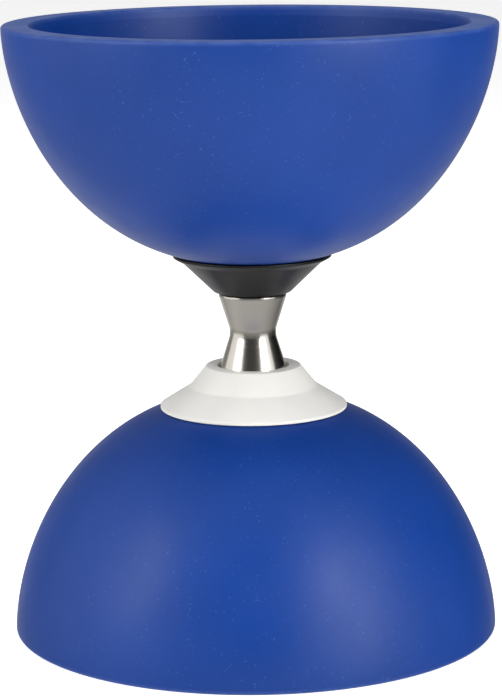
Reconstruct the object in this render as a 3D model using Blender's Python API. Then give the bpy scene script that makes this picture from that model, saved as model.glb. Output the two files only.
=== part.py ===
"""A bearing diabolo: two rubber cups bolted mouth outwards on either side of a steel bobbin that spins.

Everything is turned about Z, the axle. The origin is the middle of the object, halfway between the two cup
rims, and each half is described by (radius, height from the middle) points, which the lower half uses
upside down.
"""

import math

import bmesh
import bpy
from mathutils import Matrix, Vector

MM = 0.001
UPPER = 1
LOWER = -1
SIDE_NAMES = {UPPER: "upper", LOWER: "lower"}

# Cups: the outside is a superellipse that starts at the rim plane. Inside, a bevelled mouth that is nearly
# straight runs down to a bowl of even wall.
CUP_RADIUS = 62.5 * MM
RIM_HEIGHT = 78.2 * MM
CUP_DEPTH = 61.1 * MM
CUP_ROUND_POWER = 2.33
CUP_DEPTH_POWER = 1.76
CUP_WALL = 3.0 * MM
CUP_FLOOR = 3.9 * MM
CUP_FLOOR_RADIUS = 15.5 * MM
CUP_HOLE_RADIUS = 8.5 * MM
RIM_WIDTH = 6.9 * MM
BEVEL_WIDTH = 0.7 * MM
BEVEL_HEIGHT = 2.4 * MM
MOUTH_FOOT_RADIUS = 53.9 * MM
RIM_ROUND = 0.7 * MM
CUP_CURVE_STEPS = 10

# Gap left between faces that touch on the real object, and the closer one between parts that run or locate.
GAP = 0.3 * MM
CLOSE_GAP = 0.1 * MM

# Bobbin: an hourglass whose lower end sits inside the lower hub's recess.
BOBBIN_TOP = 9.3 * MM
BOBBIN_BOTTOM = -11.4 * MM
BOBBIN_END_RADIUS = 8.7 * MM
WAIST_RADIUS = 6.0 * MM
WAIST_LENGTH = 2.0 * MM
WAIST_ROUND = 3.0 * MM
BOBBIN_CHAMFER = 0.3 * MM
BOBBIN_BAND = 0.8 * MM
BOBBIN_BORE_RADIUS = 4.6 * MM
BOBBIN_MIDDLE = (BOBBIN_TOP + BOBBIN_BOTTOM) / 2
BOBBIN_ENDS = {UPPER: BOBBIN_TOP, LOWER: -BOBBIN_BOTTOM}

# Bearings: 6 x 12 x 4 mm miniature ball bearings with a shield on each side.
BEARING_BORE_RADIUS = 3.0 * MM
BEARING_RADIUS = 6.0 * MM
BEARING_WIDTH = 4.0 * MM
BEARING_INSET = 0.2 * MM
PITCH_RADIUS = 4.5 * MM
BALL_RADIUS = 0.8 * MM
BALL_COUNT = 7
RACE_CLEARANCE = 0.12 * MM
INNER_SHOULDER_RADIUS = 4.05 * MM
OUTER_SHOULDER_RADIUS = 4.95 * MM
SHIELD_INNER_RADIUS = 4.25 * MM
SHIELD_OUTER_RADIUS = 5.4 * MM
SHIELD_THICKNESS = 0.25 * MM
CAGE_INNER_RADIUS = 4.25 * MM
CAGE_OUTER_RADIUS = 4.75 * MM
CAGE_BACK = 1.3 * MM
CAGE_FRONT = 0.5 * MM
POCKET_RADIUS = 0.92 * MM

# Clamping stack: an M6 x 65 bolt through everything, with a plate and a washer in each cup.
BOLT_RADIUS = 2.9 * MM
BOLT_LENGTH = 65.0 * MM
BOLT_HOLE_RADIUS = 3.2 * MM
BOLT_CHAMFER = 0.5 * MM
HEAD_RADIUS = 5.0 * MM
HEAD_HEIGHT = 6.0 * MM
HEAD_CHAMFER = 0.4 * MM
SOCKET_ACROSS_FLATS = 5.0 * MM
SOCKET_DEPTH = 3.2 * MM
SPACER_RADIUS = 4.0 * MM
SHIM_RADIUS = 4.2 * MM
SHIM_THICKNESS = 1.2 * MM
PLATE_RADIUS = 14.0 * MM
PLATE_THICKNESS = 2.0 * MM
PLATE_CHAMFER = 0.3 * MM
WASHER_RADIUS = 6.0 * MM
WASHER_THICKNESS = 1.6 * MM
NUT_ACROSS_FLATS = 10.0 * MM
NUT_HEIGHT = 6.0 * MM
NUT_HEX_HEIGHT = 4.4 * MM
NUT_CHAMFER = 0.6 * MM
COLLAR_RADIUS = 4.6 * MM
COLLAR_MOUTH_RADIUS = 3.5 * MM
INSERT_POCKET_RADIUS = 4.1 * MM
INSERT_RADIUS = 4.0 * MM
INSERT_BORE_RADIUS = 3.0 * MM
INSERT_HEIGHT = 1.5 * MM
COLLAR_LIP = 0.4 * MM

# Hubs: a cone against the bobbin that opens into a flange lying on the cup. A crease or a flange edge is a
# (radius, height) point.
UPPER_FLANGE_EDGE = (20.3 * MM, 18.7 * MM)
LOWER_FLANGE_EDGE = (24.0 * MM, 19.8 * MM)
FLANGE_LIP_ROUND = 0.3 * MM
UPPER_HUB_END_RADIUS = 10.0 * MM
UPPER_HUB_CREASE = (17.9 * MM, 17.4 * MM)
UPPER_HUB_CHAMFER = 0.25 * MM
LOWER_HUB_FACE_HEIGHT = 9.6 * MM
LOWER_HUB_FACE_RADIUS = 12.1 * MM
LOWER_HUB_FACE_ROUND = 0.5 * MM
LOWER_HUB_CREASE = (16.4 * MM, 15.0 * MM)
LOWER_HUB_CREASE_ROUND = 3.0 * MM
LOWER_RECESS_RADIUS = 9.1 * MM
HUB_RUNNING_GAP = 0.4 * MM
SHIM_POCKET_RADIUS = 4.5 * MM
SPIGOT_RADIUS = 8.2 * MM
CORE_INNER_RADIUS = 10.4 * MM
CORE_OUTER_RADIUS = 14.2 * MM
CORE_DEPTH = 2.6 * MM

# Facets round each turned piece.
CUP_SIDES = 36
HUB_SIDES = 32
SMALL_SIDES = 24
BALL_SIDES = 8
BALL_RINGS = 6
ROUND_STEPS = 2
SHARP_ANGLE = math.radians(30)

# Name: base colour, roughness, metallic.
MATERIALS = {
    "blue_rubber": ((0.028, 0.082, 0.330), 0.42, 0.0),
    "black_plastic": ((0.020, 0.020, 0.023), 0.38, 0.0),
    "white_plastic": ((0.820, 0.815, 0.790), 0.40, 0.0),
    "polished_steel": ((0.640, 0.620, 0.590), 0.16, 1.0),
    "zinc_plated_steel": ((0.560, 0.570, 0.580), 0.32, 1.0),
    "bearing_steel": ((0.600, 0.600, 0.600), 0.20, 1.0),
    "brown_nylon": ((0.330, 0.220, 0.110), 0.50, 0.0),
    "blue_nylon": ((0.050, 0.160, 0.420), 0.50, 0.0),
}


def clear_scene():
    for obj in list(bpy.data.objects):
        bpy.data.objects.remove(obj, do_unlink=True)


def material(name):
    """The named material, made the first time that a piece asks for it."""
    if name in bpy.data.materials:
        return bpy.data.materials[name]
    colour, roughness, metallic = MATERIALS[name]
    made = bpy.data.materials.new(name)
    made.use_nodes = True
    shader = made.node_tree.nodes["Principled BSDF"]
    shader.inputs["Base Color"].default_value = (*colour, 1.0)
    shader.inputs["Roughness"].default_value = roughness
    shader.inputs["Metallic"].default_value = metallic
    made.diffuse_color = (*colour, 1.0)
    return made


def axis_empty(name, parent=None):
    """An empty on the axle, which every piece of one moving body hangs from."""
    empty = bpy.data.objects.new(name, None)
    bpy.context.scene.collection.objects.link(empty)
    empty.parent = parent
    return empty


def add_object(name, mesh, parent, location=(0, 0, 0)):
    obj = bpy.data.objects.new(name, mesh)
    bpy.context.scene.collection.objects.link(obj)
    obj.parent = parent
    obj.location = location
    return obj


def finished_mesh(name, bm, material_name):
    """A mesh from bm, faces out, shaded smooth except across its edges."""
    bmesh.ops.recalc_face_normals(bm, faces=bm.faces)
    mesh = bpy.data.meshes.new(name)
    bm.to_mesh(mesh)
    bm.free()
    mesh.materials.append(material(material_name))
    mesh.shade_smooth()
    mesh.set_sharp_from_angle(angle=SHARP_ANGLE)
    return mesh


def turned(name, outline, material_name, parent, sides=SMALL_SIDES):
    """The solid that a closed (radius, z) outline sweeps round Z."""
    bm = bmesh.new()
    ring = [bm.verts.new((radius, 0, z)) for radius, z in outline]
    edges = [bm.edges.new((a, b)) for a, b in zip(ring, ring[1:] + ring[:1])]
    bmesh.ops.spin(
        bm, geom=edges, axis=(0, 0, 1), cent=(0, 0, 0), angle=math.tau, steps=sides, use_merge=True
    )
    bmesh.ops.remove_doubles(bm, verts=bm.verts, dist=0.001 * MM)
    return add_object(name, finished_mesh(name, bm, material_name), parent)


def on_side(side, points):
    """(radius, height from the middle) points as (radius, z) on that side."""
    return [(radius, side * height) for radius, height in points]


def rectangle(inner, outer, low, high):
    return [(inner, low), (outer, low), (outer, high), (inner, high)]


def rounded_corner(before, corner, after, radius, steps=ROUND_STEPS):
    """Points of the arc of this radius that rounds the corner off."""
    corner = Vector(corner)
    back = (Vector(before) - corner).normalized()
    ahead = (Vector(after) - corner).normalized()
    half_angle = back.angle(ahead) / 2
    centre = corner + (back + ahead).normalized() * (radius / math.sin(half_angle))
    reach = radius / math.tan(half_angle)
    start = corner + back * reach - centre
    end = corner + ahead * reach - centre
    return [tuple(centre + start.slerp(end, step / steps) * radius) for step in range(steps + 1)]


def hex_cutter(name, across_flats, low, high, parent):
    """A hidden hexagonal prism along Z for a Boolean."""
    bm = bmesh.new()
    middle = Matrix.Translation((0, 0, (low + high) / 2))
    radius = across_flats / 2 / math.cos(math.pi / 6)
    bmesh.ops.create_cone(
        bm, cap_ends=True, segments=6, radius1=radius, radius2=radius, depth=high - low, matrix=middle
    )
    mesh = bpy.data.meshes.new(name)
    bm.to_mesh(mesh)
    bm.free()
    return hide_cutter(add_object(name, mesh, parent))


def hide_cutter(obj):
    obj.hide_render = True
    obj.display_type = "WIRE"
    return obj


def cut(obj, cutter, operation="DIFFERENCE"):
    modifier = obj.modifiers.new(cutter.name, "BOOLEAN")
    modifier.operation = operation
    modifier.solver = "EXACT"
    modifier.object = cutter


# ---- cups ----------------------------------------------------------------------------------------


def cup_outside(turn):
    """The (radius, height) of the cup's outside at this angle of its superellipse: 0 is the rim."""
    radius = CUP_RADIUS * math.cos(turn) ** (2 / CUP_ROUND_POWER)
    depth = CUP_DEPTH * math.sin(turn) ** (2 / CUP_DEPTH_POWER)
    return radius, RIM_HEIGHT - depth


def cup_turn_at(radius):
    """The superellipse angle at which the outside has this radius."""
    return math.acos((radius / CUP_RADIUS) ** (CUP_ROUND_POWER / 2))


def cup_inwards(turn):
    """The unit vector from the outside into the wall."""
    nearby = 1e-4
    before = Vector(cup_outside(turn - nearby))
    after = Vector(cup_outside(turn + nearby))
    along = (after - before).normalized()
    return Vector((along.y, -along.x))


def cup_offset(turn, distance):
    """A (radius, height) point this far inside the outer surface; a negative distance is outside it."""
    return tuple(Vector(cup_outside(turn)) + cup_inwards(turn) * distance)


def wall_at(turn):
    """The wall grows from the rim to the floor."""
    share = turn / cup_turn_at(CUP_FLOOR_RADIUS)
    return CUP_WALL + (CUP_FLOOR - CUP_WALL) * share


def cup_floor_heights():
    """Heights of the outer and inner faces of the flat floor round the hole."""
    turn = cup_turn_at(CUP_FLOOR_RADIUS)
    return cup_outside(turn)[1], cup_offset(turn, wall_at(turn))[1]


def steps_between(first, last, count):
    return [first + (last - first) * index / (count - 1) for index in range(count)]


def mouth_foot_turn():
    """The superellipse angle at which the bowl's inside has the radius of the mouth's foot, by halving."""
    halvings = 40
    low = cup_turn_at(CUP_RADIUS - CUP_WALL)
    high = cup_turn_at(CUP_FLOOR_RADIUS)
    for _ in range(halvings):
        middle = (low + high) / 2
        if cup_offset(middle, wall_at(middle))[0] > MOUTH_FOOT_RADIUS:
            low = middle
        else:
            high = middle
    return low


def cup_outline():
    last_turn = cup_turn_at(CUP_FLOOR_RADIUS)
    first_turn = last_turn / CUP_CURVE_STEPS
    outside = [cup_outside(turn) for turn in steps_between(first_turn, last_turn, CUP_CURVE_STEPS)]
    bowl_turns = steps_between(last_turn, mouth_foot_turn(), CUP_CURVE_STEPS)
    bowl = [cup_offset(turn, wall_at(turn)) for turn in bowl_turns]
    rim_inner = (CUP_RADIUS - RIM_WIDTH, RIM_HEIGHT)
    bevel_base = (CUP_RADIUS - RIM_WIDTH - BEVEL_WIDTH, RIM_HEIGHT - BEVEL_HEIGHT)
    rim_outer = (CUP_RADIUS, RIM_HEIGHT)
    below_rim = (CUP_RADIUS, RIM_HEIGHT - BEVEL_HEIGHT)
    floor_outside, floor_inside = cup_floor_heights()
    return (
        rounded_corner(rim_inner, rim_outer, below_rim, RIM_ROUND)
        + outside
        + [(CUP_HOLE_RADIUS, floor_outside), (CUP_HOLE_RADIUS, floor_inside)]
        + bowl
        + [bevel_base, rim_inner]
    )


def add_cup(side, parent):
    name = SIDE_NAMES[side] + "_cup"
    turned(name, on_side(side, cup_outline()), "blue_rubber", parent, CUP_SIDES)


# ---- hubs ----------------------------------------------------------------------------------------


def hub_seat(flange_radius):
    """The hub's face against the cup, from the flange's edge inwards, with its core groove and spigot."""
    turns = steps_between(cup_turn_at(flange_radius), cup_turn_at(CUP_FLOOR_RADIUS), 3)
    seat = [cup_offset(turn, -GAP) for turn in turns]
    seat[0] = (flange_radius, seat[0][1])
    floor_outside, floor_inside = cup_floor_heights()
    seat_height = floor_outside - GAP
    spigot_height = floor_inside - GAP
    return seat + [
        (CORE_OUTER_RADIUS, seat_height),
        (CORE_OUTER_RADIUS, seat_height - CORE_DEPTH),
        (CORE_INNER_RADIUS, seat_height - CORE_DEPTH),
        (CORE_INNER_RADIUS, seat_height),
        (SPIGOT_RADIUS, seat_height),
        (SPIGOT_RADIUS, spigot_height),
        (BOLT_HOLE_RADIUS, spigot_height),
    ]


def shim_pocket(side):
    """The bolt hole's mouth and the pocket that holds the shim, up to the face beside the bobbin's end."""
    pocket_floor = BOBBIN_ENDS[side] - BEARING_INSET + SHIM_THICKNESS + 2 * CLOSE_GAP
    return [
        (BOLT_HOLE_RADIUS, pocket_floor),
        (SHIM_POCKET_RADIUS, pocket_floor),
        (SHIM_POCKET_RADIUS, BOBBIN_ENDS[side] + HUB_RUNNING_GAP),
    ]


def flange_edge(edge):
    radius, height = edge
    return [
        (radius - FLANGE_LIP_ROUND, height - FLANGE_LIP_ROUND / 2),
        (radius, height + FLANGE_LIP_ROUND / 2),
    ]


def upper_hub_outline():
    """A straight cone that starts just outside the bobbin's end, with a narrow flange."""
    face = BOBBIN_TOP + HUB_RUNNING_GAP
    return (
        shim_pocket(UPPER)
        + [(UPPER_HUB_END_RADIUS - UPPER_HUB_CHAMFER, face)]
        + [(UPPER_HUB_END_RADIUS, face + UPPER_HUB_CHAMFER)]
        + [UPPER_HUB_CREASE]
        + flange_edge(UPPER_FLANGE_EDGE)
        + hub_seat(UPPER_FLANGE_EDGE[0])
    )


def lower_hub_outline():
    """A fuller cone with a flat face, and a recess in it that the bobbin's end turns in."""
    recess_floor = -BOBBIN_BOTTOM + HUB_RUNNING_GAP
    face_inner = (LOWER_RECESS_RADIUS, LOWER_HUB_FACE_HEIGHT)
    face_outer = (LOWER_HUB_FACE_RADIUS, LOWER_HUB_FACE_HEIGHT)
    return (
        shim_pocket(LOWER)
        + [(LOWER_RECESS_RADIUS, recess_floor), face_inner]
        + rounded_corner(face_inner, face_outer, LOWER_HUB_CREASE, LOWER_HUB_FACE_ROUND)
        + rounded_corner(face_outer, LOWER_HUB_CREASE, LOWER_FLANGE_EDGE, LOWER_HUB_CREASE_ROUND)
        + flange_edge(LOWER_FLANGE_EDGE)
        + hub_seat(LOWER_FLANGE_EDGE[0])
    )


def add_hubs(parent):
    turned("upper_hub", on_side(UPPER, upper_hub_outline()), "black_plastic", parent, HUB_SIDES)
    turned("lower_hub", on_side(LOWER, lower_hub_outline()), "white_plastic", parent, HUB_SIDES)


# ---- bobbin --------------------------------------------------------------------------------------


def bobbin_outline():
    """An hourglass that ends in a narrow straight band, with a bearing seat bored into each end."""
    waist_top = (WAIST_RADIUS, BOBBIN_MIDDLE + WAIST_LENGTH / 2)
    waist_bottom = (WAIST_RADIUS, BOBBIN_MIDDLE - WAIST_LENGTH / 2)
    top_edge = (BOBBIN_END_RADIUS, BOBBIN_TOP - BOBBIN_CHAMFER)
    bottom_edge = (BOBBIN_END_RADIUS, BOBBIN_BOTTOM + BOBBIN_CHAMFER)
    top_of_cone = (BOBBIN_END_RADIUS, BOBBIN_TOP - BOBBIN_BAND)
    bottom_of_cone = (BOBBIN_END_RADIUS, BOBBIN_BOTTOM + BOBBIN_BAND)
    seat_radius = BEARING_RADIUS + CLOSE_GAP
    seat_depth = BEARING_INSET + BEARING_WIDTH + CLOSE_GAP
    return [
        (seat_radius, BOBBIN_TOP),
        (BOBBIN_END_RADIUS - BOBBIN_CHAMFER, BOBBIN_TOP),
        top_edge,
        top_of_cone,
        *rounded_corner(top_of_cone, waist_top, waist_bottom, WAIST_ROUND),
        *rounded_corner(waist_top, waist_bottom, bottom_of_cone, WAIST_ROUND),
        bottom_of_cone,
        bottom_edge,
        (BOBBIN_END_RADIUS - BOBBIN_CHAMFER, BOBBIN_BOTTOM),
        (seat_radius, BOBBIN_BOTTOM),
        (seat_radius, BOBBIN_BOTTOM + seat_depth),
        (BOBBIN_BORE_RADIUS, BOBBIN_BOTTOM + seat_depth),
        (BOBBIN_BORE_RADIUS, BOBBIN_TOP - seat_depth),
        (seat_radius, BOBBIN_TOP - seat_depth),
    ]


# ---- bearings ------------------------------------------------------------------------------------


def bearing_middle(side):
    """The z of the balls' centres."""
    return side * (BOBBIN_ENDS[side] - BEARING_INSET - BEARING_WIDTH / 2)


def moved(points, z):
    return [(radius, height + z) for radius, height in points]


def groove(shoulder_radius, bottom_radius):
    """A ball groove's points, from below the balls' plane to above it."""
    half_mouth = BALL_RADIUS * 0.85
    half_bottom = BALL_RADIUS * 0.45
    return [
        (shoulder_radius, -half_mouth),
        (bottom_radius, -half_bottom),
        (bottom_radius, half_bottom),
        (shoulder_radius, half_mouth),
    ]


def inner_ring_outline():
    half = BEARING_WIDTH / 2
    bottom = PITCH_RADIUS - BALL_RADIUS - RACE_CLEARANCE
    return [
        (BEARING_BORE_RADIUS, -half),
        (INNER_SHOULDER_RADIUS, -half),
        *groove(INNER_SHOULDER_RADIUS, bottom),
        (INNER_SHOULDER_RADIUS, half),
        (BEARING_BORE_RADIUS, half),
    ]


def outer_ring_outline():
    """The outer ring, with a step at each side that a shield sits in."""
    half = BEARING_WIDTH / 2
    step_radius = SHIELD_OUTER_RADIUS + CLOSE_GAP
    step = half - SHIELD_THICKNESS - 2 * CLOSE_GAP
    bottom = PITCH_RADIUS + BALL_RADIUS + RACE_CLEARANCE
    return [
        (BEARING_RADIUS, half),
        (BEARING_RADIUS, -half),
        (step_radius, -half),
        (step_radius, -step),
        (OUTER_SHOULDER_RADIUS, -step),
        *groove(OUTER_SHOULDER_RADIUS, bottom),
        (OUTER_SHOULDER_RADIUS, step),
        (step_radius, step),
        (step_radius, half),
    ]


def ball_places(side):
    """The centres of one bearing's balls, evenly round the axle."""
    turn = math.tau / BALL_COUNT
    z = bearing_middle(side)
    return [
        (PITCH_RADIUS * math.cos(turn * index), PITCH_RADIUS * math.sin(turn * index), z)
        for index in range(BALL_COUNT)
    ]


def sphere(bm, radius, centre=(0, 0, 0)):
    place = Matrix.Translation(centre)
    bmesh.ops.create_uvsphere(bm, u_segments=BALL_SIDES, v_segments=BALL_RINGS, radius=radius, matrix=place)


def add_balls(side, ball_mesh, parent):
    for index, place in enumerate(ball_places(side)):
        add_object(f"{SIDE_NAMES[side]}_bearing_ball_{index + 1}", ball_mesh, parent, place)


def add_cage(side, parent):
    """A crown cage: a ring under the balls whose round pockets open towards the bobbin's end."""
    middle = bearing_middle(side)
    back = middle - side * CAGE_BACK
    front = middle + side * CAGE_FRONT
    name = SIDE_NAMES[side] + "_bearing_cage"
    outline = rectangle(CAGE_INNER_RADIUS, CAGE_OUTER_RADIUS, back, front)
    cage = turned(name, outline, "brown_nylon", parent, BALL_COUNT * 4)
    bm = bmesh.new()
    for place in ball_places(side):
        sphere(bm, POCKET_RADIUS, place)
    pockets = bpy.data.meshes.new(name + "_pockets")
    bm.to_mesh(pockets)
    bm.free()
    cut(cage, hide_cutter(add_object(name + "_pockets", pockets, parent)))


def add_shields(side, parent):
    """A thin ring on each side of the balls, called after the face it covers."""
    reach = BEARING_WIDTH / 2 - CLOSE_GAP
    for face, way in (("outer", side), ("inner", -side)):
        low, high = sorted((way * reach, way * (reach - SHIELD_THICKNESS)))
        outline = rectangle(SHIELD_INNER_RADIUS, SHIELD_OUTER_RADIUS, low, high)
        name = f"{SIDE_NAMES[side]}_bearing_{face}_shield"
        turned(name, moved(outline, bearing_middle(side)), "bearing_steel", parent)


def add_bearing(side, fixed_parent, spinning_parent, ball_parent, ball_mesh):
    middle = bearing_middle(side)
    name = SIDE_NAMES[side] + "_bearing"
    turned(name + "_inner_ring", moved(inner_ring_outline(), middle), "bearing_steel", fixed_parent)
    turned(name + "_outer_ring", moved(outer_ring_outline(), middle), "bearing_steel", spinning_parent)
    add_shields(side, spinning_parent)
    add_cage(side, ball_parent)
    add_balls(side, ball_mesh, ball_parent)


# ---- bolt, nut and what they clamp ---------------------------------------------------------------


def plate_height():
    return cup_floor_heights()[1] + GAP


def washer_height():
    return plate_height() + PLATE_THICKNESS + GAP


def seat_height():
    """Where the bolt's head and the nut bear, from the middle."""
    return washer_height() + WASHER_THICKNESS + GAP


def add_spacers(parent):
    """The tube between the two inner rings, and the shim between each inner ring and its hub."""
    low = bearing_middle(LOWER) + BEARING_WIDTH / 2 + CLOSE_GAP
    high = bearing_middle(UPPER) - BEARING_WIDTH / 2 - CLOSE_GAP
    tube = rectangle(BEARING_BORE_RADIUS, SPACER_RADIUS, low, high)
    turned("bearing_spacer_tube", tube, "zinc_plated_steel", parent)
    for side, side_name in SIDE_NAMES.items():
        near = BOBBIN_ENDS[side] - BEARING_INSET + CLOSE_GAP
        shim = rectangle(BEARING_BORE_RADIUS, SHIM_RADIUS, near, near + SHIM_THICKNESS)
        turned(side_name + "_shim_ring", on_side(side, shim), "zinc_plated_steel", parent)


def add_plate(side, parent):
    low = plate_height()
    high = low + PLATE_THICKNESS
    outline = [
        (BOLT_HOLE_RADIUS, low),
        (PLATE_RADIUS, low),
        (PLATE_RADIUS, high - PLATE_CHAMFER),
        (PLATE_RADIUS - PLATE_CHAMFER, high),
        (BOLT_HOLE_RADIUS, high),
    ]
    name = SIDE_NAMES[side] + "_clamp_plate"
    turned(name, on_side(side, outline), "zinc_plated_steel", parent, HUB_SIDES)


def add_washer(side, parent):
    low = washer_height()
    outline = rectangle(BOLT_HOLE_RADIUS, WASHER_RADIUS, low, low + WASHER_THICKNESS)
    turned(SIDE_NAMES[side] + "_washer", on_side(side, outline), "zinc_plated_steel", parent)


def add_bolt(parent):
    """A socket-head cap screw, head up."""
    under_head = seat_height()
    top = under_head + HEAD_HEIGHT
    tip = under_head - BOLT_LENGTH
    outline = [
        (0, top),
        (HEAD_RADIUS - HEAD_CHAMFER, top),
        (HEAD_RADIUS, top - HEAD_CHAMFER),
        (HEAD_RADIUS, under_head),
        (BOLT_RADIUS, under_head),
        (BOLT_RADIUS, tip + BOLT_CHAMFER),
        (BOLT_RADIUS - BOLT_CHAMFER, tip),
        (0, tip),
    ]
    bolt = turned("through_bolt", outline, "zinc_plated_steel", parent)
    past = 1 * MM
    cut(bolt, hex_cutter("bolt_socket", SOCKET_ACROSS_FLATS, top - SOCKET_DEPTH, top + past, parent))


def nut_outline():
    """The nut's turned blank: chamfered hexagon stock, then a round collar that holds the insert."""
    seat = seat_height()
    hex_end = seat + NUT_HEX_HEIGHT
    end = seat + NUT_HEIGHT
    corner_radius = NUT_ACROSS_FLATS / 2 / math.cos(math.pi / 6)
    pocket_end = end - COLLAR_LIP
    pocket_floor = pocket_end - INSERT_HEIGHT - 2 * CLOSE_GAP
    return [
        (BOLT_HOLE_RADIUS, seat),
        (corner_radius - NUT_CHAMFER, seat),
        (corner_radius, seat + NUT_CHAMFER / 2),
        (corner_radius, hex_end - NUT_CHAMFER / 2),
        (corner_radius - NUT_CHAMFER, hex_end),
        (COLLAR_RADIUS, hex_end),
        (COLLAR_RADIUS, pocket_end),
        (COLLAR_RADIUS - COLLAR_LIP, end),
        (COLLAR_MOUTH_RADIUS, end),
        (COLLAR_MOUTH_RADIUS, pocket_end),
        (INSERT_POCKET_RADIUS, pocket_end),
        (INSERT_POCKET_RADIUS, pocket_floor),
        (BOLT_HOLE_RADIUS, pocket_floor),
    ]


def add_nut(parent):
    """A lock nut under the lower washer, with its nylon ring."""
    nut = turned("lock_nut", on_side(LOWER, nut_outline()), "zinc_plated_steel", parent)
    past = 1 * MM
    low = -(seat_height() + NUT_HEIGHT + past)
    high = -(seat_height() - past)
    cut(nut, hex_cutter("nut_flats", NUT_ACROSS_FLATS, low, high, parent), "INTERSECT")
    insert_end = seat_height() + NUT_HEIGHT - COLLAR_LIP - CLOSE_GAP
    insert = rectangle(INSERT_BORE_RADIUS, INSERT_RADIUS, insert_end - INSERT_HEIGHT, insert_end)
    turned("lock_nut_insert", on_side(LOWER, insert), "blue_nylon", parent)


# ---- the whole object ----------------------------------------------------------------------------


def main():
    clear_scene()
    cups = axis_empty("cup_assembly_axis")
    bobbin = axis_empty("bobbin_axis", cups)
    bm = bmesh.new()
    sphere(bm, BALL_RADIUS)
    ball_mesh = finished_mesh("bearing_ball", bm, "bearing_steel")
    for side in SIDE_NAMES:
        add_cup(side, cups)
        balls = axis_empty(SIDE_NAMES[side] + "_ball_set_axis", cups)
        add_bearing(side, cups, bobbin, balls, ball_mesh)
        add_plate(side, cups)
        add_washer(side, cups)
    add_hubs(cups)
    turned("axle_bobbin", bobbin_outline(), "polished_steel", bobbin, HUB_SIDES)
    add_spacers(cups)
    add_bolt(cups)
    add_nut(cups)


main()
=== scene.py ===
"""The looks of a bearing diabolo: every CAD piece gets a fine turned mesh and a procedural material.

All sizes are in metres in the CAD frame: Z is the axle, and the origin is halfway between the cup rims. A
half of the object is described by (radius, height from the middle) points, which the lower half uses upside
down. A third number in a point is the radius that rounds its corner off.
"""

import math

import bpy
from mathutils import Matrix, Vector


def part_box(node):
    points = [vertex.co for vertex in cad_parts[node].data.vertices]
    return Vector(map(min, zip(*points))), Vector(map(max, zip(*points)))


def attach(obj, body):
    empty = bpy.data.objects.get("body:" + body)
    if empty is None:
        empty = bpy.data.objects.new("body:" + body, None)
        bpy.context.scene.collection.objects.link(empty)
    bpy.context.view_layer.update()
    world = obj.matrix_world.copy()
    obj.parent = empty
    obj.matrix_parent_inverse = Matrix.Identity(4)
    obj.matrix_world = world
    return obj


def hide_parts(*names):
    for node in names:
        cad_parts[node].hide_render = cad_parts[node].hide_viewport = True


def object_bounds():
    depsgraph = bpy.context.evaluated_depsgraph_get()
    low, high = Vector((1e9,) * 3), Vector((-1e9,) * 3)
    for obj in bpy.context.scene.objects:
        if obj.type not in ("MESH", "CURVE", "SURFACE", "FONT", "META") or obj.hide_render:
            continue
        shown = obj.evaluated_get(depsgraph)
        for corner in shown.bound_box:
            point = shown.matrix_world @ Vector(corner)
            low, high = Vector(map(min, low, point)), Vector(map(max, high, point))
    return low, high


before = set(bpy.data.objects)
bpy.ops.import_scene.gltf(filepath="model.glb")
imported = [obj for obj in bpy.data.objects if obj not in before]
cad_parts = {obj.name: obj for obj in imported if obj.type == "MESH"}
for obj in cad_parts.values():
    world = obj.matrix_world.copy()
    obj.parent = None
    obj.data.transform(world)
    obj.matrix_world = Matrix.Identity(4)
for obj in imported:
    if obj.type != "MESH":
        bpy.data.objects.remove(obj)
cad_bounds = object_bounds()

MM = 0.001
UPPER = 1
LOWER = -1
SIDE_NAMES = {UPPER: "upper", LOWER: "lower"}

# The photograph's viewpoint, in the CAD frame, and its lens on a sensor of this width, in millimetres.
CAMERA_DISTANCE = 704 * MM
CAMERA_ELEVATION = math.radians(10.62)
CAMERA_DROP = math.radians(0.47)
CAMERA_SIDEWAYS = math.radians(0.045)
CAMERA_ROLL = math.radians(-0.6)
SENSOR = 36.0
FOCAL_LENGTH = 141.07

# Roundings of edges, from a crisp machined one to a moulded one.
CRISP_EDGE = 0.1 * MM
MACHINED_EDGE = 0.15 * MM
BROKEN_EDGE = 0.3 * MM
SOFT_EDGE = 0.5 * MM

# Cups: the same superellipse as the CAD's.
RIM_HEIGHT = cad_bounds[1].z
CUP_RADIUS = 62.5 * MM
CUP_DEPTH = 61.1 * MM
CUP_ROUND_POWER = 2.33
CUP_DEPTH_POWER = 1.76
CUP_WALL = 3.0 * MM
CUP_FLOOR = 3.9 * MM
CUP_FLOOR_RADIUS = 15.5 * MM
CUP_HOLE_RADIUS = 8.5 * MM
RIM_WIDTH = 6.9 * MM
BEVEL_WIDTH = 0.7 * MM
BEVEL_HEIGHT = 2.4 * MM
MOUTH_FOOT_RADIUS = 53.9 * MM
RIM_ROUND = 0.8 * MM
BEVEL_ROUND = 0.8 * MM
MOUTH_FOOT_RISE = 2.0 * MM
CUP_STEPS = 72
CUP_FIRST_TURN = 0.05

# Hubs.
GAP = 0.3 * MM
UPPER_FLANGE_EDGE = (20.3 * MM, 18.7 * MM)
LOWER_FLANGE_EDGE = (24.0 * MM, 19.8 * MM)
FLANGE_BACK_ROUND = 0.12 * MM
UPPER_HUB_END_RADIUS = 10.0 * MM
UPPER_HUB_END_ROUND = 0.25 * MM
UPPER_HUB_CREASE = (17.9 * MM, 17.4 * MM)
LOWER_HUB_FACE_RADIUS = 12.1 * MM
LOWER_HUB_FACE_ROUND = 0.7 * MM
LOWER_HUB_CREASE = (16.4 * MM, 15.0 * MM)
LOWER_HUB_CREASE_ROUND = 3.0 * MM
LOWER_RECESS_RADIUS = 9.1 * MM
BOLT_HOLE_RADIUS = 3.2 * MM
SHIM_POCKET_RADIUS = 4.5 * MM
SPIGOT_RADIUS = 8.2 * MM
CORE_INNER_RADIUS = 10.4 * MM
CORE_OUTER_RADIUS = 14.2 * MM
CORE_DEPTH = 2.6 * MM
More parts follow.
